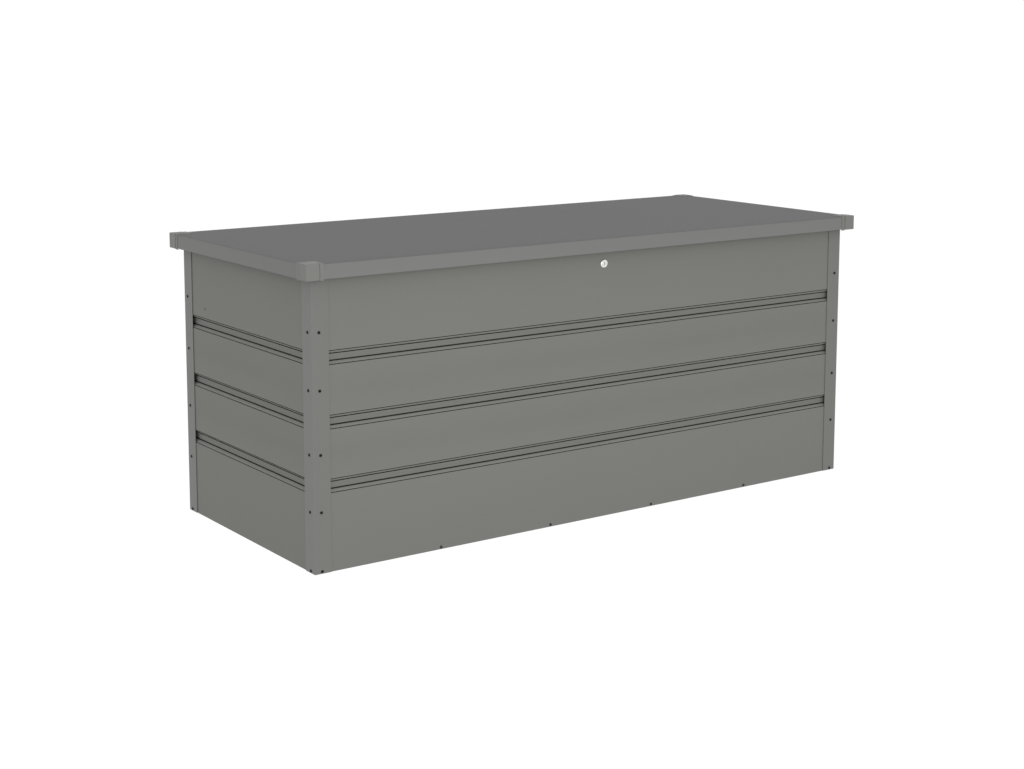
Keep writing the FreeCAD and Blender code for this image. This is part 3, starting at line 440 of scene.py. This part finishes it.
def solidsOf(nodeName):
    # the boxes of a CAD node's separate solids, in millimetres
    mesh = bmesh.new()
    mesh.from_mesh(frame["nodes"][nodeName].data)
    bmesh.ops.remove_doubles(mesh, verts=mesh.verts, dist=0.01 * mm)
    waiting, boxes = set(mesh.verts), []
    while waiting:
        edge, found = [waiting.pop()], []
        while edge:
            vert = edge.pop()
            found.append(vert.co / mm)
            near = {link.other_vert(vert) for link in vert.link_edges} & waiting
            waiting -= near
            edge += near
        boxes.append((Vector(map(min, zip(*found))), Vector(map(max, zip(*found)))))
    mesh.free()
    return sorted(boxes, key=lambda box: tuple(box[0]))


def softened(nodeName, width, name, finish=None):
    # a CAD node's own shape with its sharp edges broken, as cut and bent metal has them
    mesh = bmesh.new()
    mesh.from_mesh(frame["nodes"][nodeName].data)
    bmesh.ops.remove_doubles(mesh, verts=mesh.verts, dist=0.005 * mm)
    bmesh.ops.dissolve_limit(mesh, angle_limit=0.02, verts=mesh.verts, edges=mesh.edges)
    sharp = [edge for edge in mesh.edges if len(edge.link_faces) == 2 and edge.calc_face_angle() > 0.6]
    bmesh.ops.bevel(mesh, geom=sharp, offset=width * mm, segments=2, profile=0.5, affect="EDGES",
                    clamp_overlap=True)
    mesh.verts.index_update()
    points = [tuple(vert.co / mm) for vert in mesh.verts]
    faces = [tuple(vert.index for vert in face.verts) for face in mesh.faces]
    mesh.free()
    return stand(name, (points, faces), nodeName, finish)


# Body: pressed walls and corner posts

walls = {
    "faceX": 798.2, "faceY": 318.2, "top": 680, "inset": 14, "gauge": 0.8,
    "rows": (194.2, 337.2, 480.2), "mouth": 30.8, "floor": 15.7, "depth": 8,
    "rimBead": 1.8, "rimBeadDepth": 1.8, "upperBead": 2.2, "lowerBead": 3.2, "floorBeadDepth": 3,
    "foldRadius": 0.35,
}


def grooveHalf(row, side):
    # from the rim to the floor: (depth, height) of the skin, then the same of the sheet's back
    bead = walls["upperBead"] if side > 0 else walls["lowerBead"]
    rim, floor, gauge = walls["mouth"] / 2, walls["floor"] / 2, walls["gauge"]
    near, far = walls["rimBead"] / 2, bead / 2
    shallow, deep = walls["rimBeadDepth"], walls["depth"] + walls["floorBeadDepth"]
    skin = [(0, rim + near), (shallow, rim + near), (shallow, rim - near), (0, rim - near),
            (walls["depth"], floor + far), (deep, floor + far), (deep, floor - far),
            (walls["depth"], floor - far)]
    back = [(gauge, rim + near + gauge), (shallow + gauge, rim + near + gauge),
            (shallow + gauge, rim - near - gauge), (walls["depth"], floor + far + gauge),
            (deep + gauge, floor + far + gauge), (deep + gauge, floor - far - gauge),
            (walls["depth"] + gauge, floor - far - gauge)]
    return ([(depth, row + side * offset) for depth, offset in skin],
            [(depth, row + side * offset) for depth, offset in back])


def wallSection(face, inwards):
    skin, back = [(0, 0)], [(walls["gauge"], 0)]
    for row in walls["rows"]:
        lowSkin, lowBack = grooveHalf(row, -1)
        highSkin, highBack = grooveHalf(row, 1)
        skin += lowSkin + highSkin[::-1]
        back += lowBack + highBack[::-1]
    skin.append((0, walls["top"]))
    back.append((walls["gauge"], walls["top"]))
    outside = roundedPath(skin, walls["foldRadius"], 3)
    inside = roundedPath(back, walls["foldRadius"], 3)
    return [(face + inwards * depth, height) for depth, height in outside + inside[::-1]]


def finishWall(piece, depthOf):
    # the long faces sunk beside each groove's rim and in its floor take a near-black painted shade, for the
    # shadow in these narrow slots
    piece.data.materials.append(beadShadeCoat)
    for face in piece.data.polygons:
        depth, height = depthOf(face.center / mm), face.center.z / mm
        offset = min(abs(height - row) for row in walls["rows"])
        atRim = abs(offset - walls["mouth"] / 2) < walls["rimBead"] / 2 + 0.05 and depth > 0.7
        atFloor = abs(offset - walls["floor"] / 2) < 2.1 and depth > walls["depth"] + 0.5
        face.material_index = int((atRim or atFloor) and len(face.vertices) == 4)


post = {"x": 800, "y": 320, "leg": 42, "gauge": 1.0, "bend": 1.6, "top": 680}

for endName, end in ends.items():
    reach = post["x"] - walls["inset"]
    section = wallSection(end * walls["faceY"], -end)
    piece = stand(f"pressedWall.{endName}", extruded(section, -reach, reach, "x"), f"{endName}_wall",
                  wallCoat, smoothBelow=50)
    finishWall(piece, lambda centre: walls["faceY"] - abs(centre.y))
for sideName, side in sides.items():
    reach = post["y"] - walls["inset"]
    section = wallSection(side * walls["faceX"], -side)
    piece = stand(f"pressedWall.{sideName}", extruded(section, -reach, reach, "y"), f"{sideName}_wall",
                  wallCoat, smoothBelow=50)
    finishWall(piece, lambda centre: walls["faceX"] - abs(centre.x))


def cornerPost(side, end):
    leg, gauge = post["leg"], post["gauge"]
    outside = roundedPath([(-leg, 0), (0, 0), (0, -leg)], post["bend"], 6)
    inside = roundedPath([(-leg, -gauge), (-gauge, -gauge), (-gauge, -leg)], post["bend"] - gauge, 6)
    section = [(side * (post["x"] + u), end * (post["y"] + v)) for u, v in outside + inside[::-1]]
    return extruded(section, 0, post["top"], "z")


for endName, end in ends.items():
    for sideName, side in sides.items():
        stand(f"foldedPost.{endName}.{sideName}", cornerPost(side, end),
              f"corner_post_{endName}_{sideName}", postCoat)
print("walls and posts done")


# Lid: a folded tray with a rolled hem, and moulded caps on its corners

lid = {"x": 823.5, "y": 343.5, "top": 691, "foot": 657, "gauge": 0.8, "hem": 10, "bend": 2.4}


def plan(inset, height, bend):
    # the lid's outline, inset from its skirts, at one height
    x, y = lid["x"] - inset, lid["y"] - inset
    outline = roundedLoop([(-x, -y), (x, -y), (x, y), (-x, y)], max(bend - inset, 0.2), 5)
    return [(u, v, height) for u, v in outline]


def lidTray():
    gauge, foot, top, bend = lid["gauge"], lid["foot"], lid["top"], lid["bend"]
    inside = roundedPath([(30, top - gauge), (gauge, top - gauge), (gauge, foot + lid["hem"] + 0.4)],
                         bend - gauge, 5)
    hem = roundedPath([(gauge, foot + lid["hem"] + 0.4), (2 * gauge, foot + lid["hem"]), (2 * gauge, foot),
                       (0, foot), (0, foot + 3)], 0.8, 4)
    outside = roundedPath([(0, foot + 3), (0, top), (30, top)], bend, 6)
    return loft([plan(inset, height, bend) for inset, height in inside + hem[1:] + outside[1:]])


stand("foldedLidTray", lidTray(), "lid_panel", lidCoat)

cap = {
    "proud": 1.5, "foot": 656, "top": 692.5, "leg": 33, "lip": 4.5, "edge": 0.7, "bend": 1.6,
    "collarProud": 1.0, "collarFoot": 654.5, "collarNear": 34.5, "collarFar": 43.5,
}


def capBlock(side, end):
    # an outer skin round the lid's corner, hooked under the skirts, with a top plate
    outerX, outerY = lid["x"] + cap["proud"], lid["y"] + cap["proud"]
    innerX, innerY = outerX - cap["leg"], outerY - cap["leg"]
    thick, foot, top, edge = cap["proud"] - 0.02, cap["foot"], cap["top"], cap["edge"]
    profile = [(thick, top - thick), (thick, foot + 1.4), (cap["lip"], foot + 1.4), (cap["lip"], foot)]
    profile += roundedPath([(cap["lip"] - 0.5, foot), (0, foot), (0, top), (3, top)], edge, 4)
    rings = []
    for inset, height in profile:
        path = [(innerX, outerY - inset), (outerX - inset, outerY - inset), (outerX - inset, innerY)]
        corner = roundedPath(path, max(cap["bend"] - inset, 0.2), 5)
        rings.append([(side * u, end * v, height) for u, v in corner])
    points, faces = loft(rings, closed=False, capped=(False, False))
    count = len(rings[0])
    last = len(points)
    points = points + [(side * innerX, end * innerY, top - thick), (side * innerX, end * innerY, top)]
    faces = faces + [tuple(range(count)) + (last,), tuple(range(last - count, last)) + (last + 1,)]
    starts = tuple(row * count for row in range(len(rings)))
    stops = tuple(row * count + count - 1 for row in range(len(rings)))
    return points, faces + [starts + (last + 1, last), stops + (last + 1, last)]


def capCollar(side, end):
    # a thinner band beside the block on each skirt, folded over the lid's edge and under its hem
    proud, foot, top = cap["collarProud"], cap["collarFoot"], lid["top"]
    near, far = cap["collarNear"], cap["collarFar"]

    def band(skirt, stop):
        outside = roundedPath([(skirt - 2.5, foot), (skirt + proud, foot), (skirt + proud, top + proud),
                               (stop, top + proud)], 1.2, 4)
        inside = roundedPath([(skirt - 2.5, foot + proud), (skirt + 0.02, foot + proud),
                              (skirt + 0.02, top + 0.02), (stop, top + 0.02)], 0.3, 4)
        return outside + inside[::-1]

    outerX, outerY = lid["x"] + cap["proud"], lid["y"] + cap["proud"]
    onLong = [(end * u, v) for u, v in band(lid["y"], outerY - far)]
    onShort = [(side * u, v) for u, v in band(lid["x"], outerX - near)]
    return together(extruded(onLong, side * (outerX - far), side * (outerX - near), "x"),
                    extruded(onShort, end * (outerY - far), end * (outerY - near), "y"))


for endName, end in ends.items():
    for sideName, side in sides.items():
        stand(f"cornerCap.{endName}.{sideName}", together(capBlock(side, end), capCollar(side, end)),
              f"lid_cap_{endName}_{sideName}", smoothBelow=35)
print("lid and caps done")


# Screws, nuts and bumpers

screw = {"head": 3.4, "height": 1.8, "shank": 1.5, "thread": 0.5, "recess": 1.35, "recessDepth": 1.1}
bolt = {"head": 3.2, "height": 1.8, "shank": 2.0, "thread": 0.7, "recess": 1.5, "recessDepth": 1.1}


def crossOutline(radius, height, count=24):
    # the mouth of a cross drive: four arms, and a pinch between each pair
    points = []
    for step in range(count):
        angle = math.tau * step / count
        arm = abs(math.cos(2 * angle)) ** 2.2
        reach = radius * (0.36 + 0.64 * arm)
        points.append((reach * math.cos(angle), reach * math.sin(angle), height))
    return points


def panScrew(form, length):
    # head up the z axis, shank below; the thread is a run of shallow ridges
    shank, head, height = form["shank"], form["head"], form["height"]
    ridges = []
    turn = -length + 1.0
    while turn < -0.8:
        ridges += [(shank - 0.18, turn), (shank, turn + form["thread"] / 2)]
        turn += form["thread"]
    profile = [(0.3, -length), (shank - 0.5, -length), (shank - 0.18, -length + 0.7), *ridges,
               (shank, -0.4), (shank, 0), (head - 0.15, 0), (head, 0.15), (head, 0.45 * height),
               (head - 0.2, 0.72 * height), (head - 0.65, 0.9 * height), (head - 1.2, height)]
    rings = [circle(radius, level, 24) for radius, level in profile]
    rings += [crossOutline(form["recess"], height), crossOutline(form["recess"] * 0.82, height - 0.35),
              crossOutline(form["recess"] * 0.45, height - form["recessDepth"])]
    return loft(rings)


def screwsAt(nodeName, form):
    shapes = []
    for low, high in solidsOf(nodeName):
        size, centre = high - low, (high + low) / 2
        axis = max(range(3), key=lambda way: size[way])
        outward = Vector((0, 0, 0))
        outward[axis] = 1 if centre[axis] > 0 else -1
        place = centre + outward * (size[axis] / 2 - form["height"])
        shapes.append(moved(panScrew(form, size[axis] - form["height"]), aim(place, outward)))
    return together(*shapes)


for nodeName in ("post_screws", "rim_screws", "hinge_screws"):
    stand(f"panScrews.{nodeName}", screwsAt(nodeName, screw), nodeName)
stand("footScrews", screwsAt("foot_screws", screw), "foot_screws", paintedScrew)
stand("strutBolts", screwsAt("strut_foot_bolts", bolt), "strut_foot_bolts")

nut = {"flats": 5.5, "bore": 1.35, "chamfer": 0.3}


def hexNut(flats, height, bore, chamfer, count=36):
    # outline is a hexagon whose corners are turned off at both faces
    def ring(level, limit):
        points = []
        for step in range(count):
            angle = math.tau * step / count
            across = (angle + math.pi / 6) % (math.pi / 3) - math.pi / 6
            radius = min(flats / 2 / math.cos(across), limit)
            points.append((radius * math.cos(angle), radius * math.sin(angle), level))
        return points
    corner = flats / 3 ** 0.5
    rings = [circle(bore, 0.3, count), circle(bore + 0.3, 0, count), ring(0, flats / 2 - 0.05),
             ring(chamfer, corner), ring(height - chamfer, corner), ring(height, flats / 2 - 0.05),
             circle(bore + 0.3, height, count), circle(bore, height - 0.3, count), circle(bore, 0.3, count)]
    return loft(rings, capped=(False, False))


def nutsAt(nodeName):
    shapes = []
    for low, high in solidsOf(nodeName):
        size, centre = high - low, (high + low) / 2
        axis = min(range(3), key=lambda way: size[way])
        inward = Vector((0, 0, 0))
        inward[axis] = -1 if centre[axis] > 0 else 1
        place = centre - inward * (size[axis] / 2)
        shape = hexNut(nut["flats"], size[axis], nut["bore"], nut["chamfer"])
        shapes.append(moved(shape, aim(place, inward)))
    return together(*shapes)


stand("hexNuts", nutsAt("hex_nuts"), "hex_nuts", smoothBelow=25)


def bumperAt(low, high):
    # a push-in bumper: barbed stem through the rail, domed head on the rail's top
    centre, height, radius = (high + low) / 2, high.z - low.z, (high.x - low.x) / 2
    seat = walls["top"] + 0.02 - low.z
    profile = [(0.4, 0), (2.0, 0.2), (4.3, 2.2), (4.3, 2.7), (2.9, 3.0), (2.9, seat), (radius - 0.3, seat),
               (radius, seat + 0.4), (radius, height - 3.4), (radius - 0.5, height - 1.6),
               (radius - 1.8, height - 0.5), (radius - 4, height), (0.3, height)]
    return moved(turned(profile, 40), Matrix.Translation((centre.x, centre.y, low.z)))


stand("lidBumpers", together(*(bumperAt(*box) for box in solidsOf("lid_bumpers"))), "lid_bumpers")
print("screws, nuts and bumpers done")


# Lock

lock = {"height": 626.5, "face": 318.2, "flange": 10.6, "depth": 3, "plug": 6.5, "proud": 0.6,
        "keyway": (2.2, 7.5, 5.0), "barrel": 9.5, "length": 21.5}
lockAim = aim((0, -lock["face"], lock["height"]), (0, -1, 0))


def lockHousing():
    bore, flange, depth = lock["plug"] + 0.05, lock["flange"], lock["depth"]
    profile = [(bore, -lock["length"]), (lock["barrel"] - 0.4, -lock["length"]),
               (lock["barrel"], -lock["length"] + 0.4), (lock["barrel"], 0), (flange, 0), (flange, 0.9),
               (flange - 0.15, 1.4), (flange - 1.0, depth - 0.5), (flange - 1.5, depth - 0.12),
               (flange - 2.1, depth), (bore + 0.5, depth), (bore + 0.15, depth - 0.1), (bore, depth - 0.4),
               (bore, -lock["length"])]
    return moved(hollow(profile, 48), lockAim)


def lockPlug():
    # the face has a slot for a flat key, cut as a rounded pocket
    width, tall, deep = lock["keyway"]
    count, face, radius = 48, lock["depth"] + lock["proud"], lock["plug"]

    def slot(scale, level):
        points = []
        for step in range(count):
            angle = math.tau * step / count
            across, up = math.cos(angle), math.sin(angle)
            stretch = 1 / max(abs(across) / (width / 2), abs(up) / (tall / 2))
            points.append((stretch * across * scale, stretch * up * scale, level))
        return points
    rings = [circle(radius, -lock["length"] - 3.4, count), circle(radius, face - 0.5, count),
             circle(radius - 0.15, face - 0.15, count), circle(radius - 0.5, face, count), slot(1.0, face),
             slot(0.97, face - 0.1), slot(0.97, face - deep)]
    stub = turned([(1.6, -30), (3, -30), (3, -20)], 32)
    return moved(together(loft(rings), stub), lockAim)


stand("lockHousing", lockHousing(), "lock_housing")
stand("lockPlug", lockPlug(), "lock_core")
print("lock done")


# Gas struts: a crimped tube, a polished rod and flat eyes

strut = {
    "out": 772, "foot": (210, 518), "head": (-95, 668), "eyeReach": 22, "rodShown": 20, "tube": 9, "rod": 4,
    "rodLength": 240, "eye": 7, "eyeWidth": 8, "eyeBore": 4.05, "neck": 5,
}


def strutShapes(side):
    foot = Vector((side * strut["out"], *strut["foot"]))
    head = Vector((side * strut["out"], *strut["head"]))
    span, line = (head - foot).length, (head - foot).normalized()
    onLine = aim(foot, line)
    start, stop, tube = strut["eyeReach"] + strut["rodShown"], span - strut["eyeReach"], strut["tube"]
    tubeProfile = [(strut["rod"] + 0.1, start + 0.6), (strut["rod"] + 0.8, start), (tube - 2.2, start),
                   (tube - 0.9, start + 0.5), (tube - 0.2, start + 1.6), (tube, start + 3),
                   (tube, start + 11), (tube - 0.5, start + 11.8), (tube - 0.7, start + 12.6),
                   (tube - 0.5, start + 13.4), (tube, start + 14.2), (tube, stop - 5),
                   (tube - 0.4, stop - 2.4), (tube - 1.6, stop - 0.6), (tube - 3.2, stop), (0.5, stop)]
    rodProfile = [(0.5, strut["eyeReach"]), (strut["rod"] - 0.4, strut["eyeReach"]),
                  (strut["rod"], strut["eyeReach"] + 0.5), (strut["rod"], start + 30), (0.5, start + 30)]

    def eye(centre, neckStart, neckStop):
        wide, bore, ring = strut["eyeWidth"] / 2, strut["eyeBore"], strut["eye"]
        profile = [(bore, -wide + 0.3), (bore + 0.3, -wide), (ring - 0.7, -wide), (ring, -wide + 0.7),
                   (ring, wide - 0.7), (ring - 0.7, wide), (bore + 0.3, wide), (bore, wide - 0.3),
                   (bore, -wide + 0.3)]
        hoop = moved(hollow(profile, 40), aim(centre, (1, 0, 0)))
        low, high = sorted((neckStart, neckStop))
        across, collar, upward = strut["neck"] - 1.1, strut["neck"] - 0.1, neckStart < neckStop
        swell = [(across + 0.1, (low + high) / 2), (across, high - 0.3)] if upward else [(across, high)]
        neck = turned([(0.5, low), (across, low), *swell, (0.5, high)], 24)
        edge = neckStop - (4 if upward else 0)
        ringed = turned([(0.5, edge), (collar - 0.4, edge), (collar, edge + 0.4), (collar, edge + 3.6),
                         (collar - 0.4, edge + 4), (0.5, edge + 4)], 24)
        return together(hoop, moved(neck, onLine), moved(ringed, onLine))

    footEye = eye(foot, strut["eye"] - 1.2, strut["eyeReach"])
    headEye = eye(head, span - strut["eye"] + 1.2, stop)
    return moved(turned(tubeProfile, 40), onLine), moved(turned(rodProfile, 32), onLine), footEye, headEye


for sideName, side in sides.items():
    tube, rod, footEye, headEye = strutShapes(side)
    stand(f"strutTube.{sideName}", tube, f"strut_tube_{sideName}", smoothBelow=50)
    stand(f"strutRod.{sideName}", rod, f"strut_rod_{sideName}")
    stand(f"strutFootEye.{sideName}", footEye, f"strut_rod_eye_{sideName}")
    stand(f"strutHeadEye.{sideName}", headEye, f"strut_tube_eye_{sideName}")
print("struts done")


# Rails, stiffeners, floor, hinges and brackets keep their CAD shape, with broken edges

brokenEdge = {
    "rim_rail": 0.3, "lid_stiffener": 0.25, "floor_pan": 0.25, "hinge_leaf": 0.35, "strut_foot_plate": 0.4,
    "strut_lid_bracket": 0.4, "strut_foot_stud": 0.4, "lock_cam": 0.4, "lock_nut": 0.5, "lid_strike": 0.35,
    "hinge_pins": 0.4, "hinge_rivets": 0.1,
}
for nodeName in sorted(frame["nodes"]):
    width = next((size for start, size in brokenEdge.items() if nodeName.startswith(start)), None)
    if width and not frame["nodes"][nodeName].hide_render:
        inLid = nodeName.startswith("lid_stiffener")
        softened(nodeName, width, "soft." + nodeName, lidCoat if inLid else None)
print("brackets and rails done")


# Camera, floor and light

view = {
    "standsAt": (-2.587, -3.589, 1.209),
    "heading": 35.297,    # degrees from the box's depth towards its length
    "down": 7.94,
    "roll": -0.063,
    "lens": 61.44,
    "shiftY": -0.11905,
}


def makeCamera():
    camera = bpy.data.cameras.new("camera")
    camera.lens = view["lens"]
    camera.sensor_width = 36
    camera.shift_y = view["shiftY"]
    camera.clip_end = 900
    item = bpy.data.objects.new("camera", camera)
    item.location = view["standsAt"]
    turns = (90 - view["down"], view["roll"], -view["heading"])
    item.rotation_euler = [math.radians(angle) for angle in turns]
    scene.collection.objects.link(item)
    scene.camera = item


studio = {
    "horizon": 0.87, "zenith": 0.73, "floorGlow": 0.815, "seen": 1.02, "floorReach": 400,
    "floorGap": 0.0005, "frontPower": 23, "frontSize": 1.6,
}


def makeStudio():
    # a white cove: it shows as plain white, and lights the box evenly from all round
    world = bpy.data.worlds.new("studioWorld")
    scene.world = world
    world.use_nodes = True
    tree = world.node_tree
    sky = addNode(tree, "ShaderNodeTexCoord").outputs["Generated"]
    up = addNode(tree, "ShaderNodeSeparateXYZ", links={"Vector": sky}).outputs["Z"]
    fade = addNode(tree, "ShaderNodeMapRange",
                   {"To Min": studio["horizon"], "To Max": studio["zenith"]}, {"Value": up})
    seen = addNode(tree, "ShaderNodeLightPath").outputs["Is Camera Ray"]
    strength = addNode(tree, "ShaderNodeMix", {"data_type": "FLOAT", 3: studio["seen"]}, {0: seen})
    tree.links.new(fade.outputs["Result"], strength.inputs[2])
    tree.links.new(strength.outputs[0], tree.nodes["Background"].inputs["Strength"])
    tree.nodes["Background"].inputs["Color"].default_value = (1, 1, 1, 1)

    reach = studio["floorReach"]
    mesh = bpy.data.meshes.new("floor")
    corners = [(-reach, -reach, 0), (reach, -reach, 0), (reach, reach, 0), (-reach, reach, 0)]
    mesh.from_pydata(corners, [], [(0, 1, 2, 3)])
    floor = bpy.data.objects.new("floor", mesh)
    floor.location.z = cadLow.z - studio["floorGap"]
    material = bpy.data.materials.new("paleFloor")
    material.use_nodes = True
    tree = material.node_tree
    tree.nodes.remove(tree.nodes["Principled BSDF"])
    seen = addNode(tree, "ShaderNodeLightPath").outputs["Is Camera Ray"]
    glow = addNode(tree, "ShaderNodeMix",
                   {"data_type": "FLOAT", 2: studio["floorGlow"], 3: studio["seen"]}, {0: seen})
    light = addNode(tree, "ShaderNodeEmission", {"Color": (1, 1, 1, 1)}, {"Strength": glow.outputs[0]})
    tree.links.new(light.outputs[0], tree.nodes["Material Output"].inputs["Surface"])
    mesh.materials.append(material)
    scene.collection.objects.link(floor)


def softLight(name, place, aimedAt, size, power):
    light = bpy.data.lights.new(name, "AREA")
    light.shape = "SQUARE"
    light.size = size
    light.energy = power
    item = bpy.data.objects.new(name, light)
    item.location = place
    item.rotation_euler = (Vector(aimedAt) - Vector(place)).to_track_quat("-Z", "Y").to_euler()
    scene.collection.objects.link(item)


makeCamera()
makeStudio()
softLight("frontLight", (-0.9, -3.3, 1.0), (-0.3, 0, 0.35), studio["frontSize"], studio["frontPower"])
scene.view_settings.view_transform = "Standard"
print("camera, floor and light done")
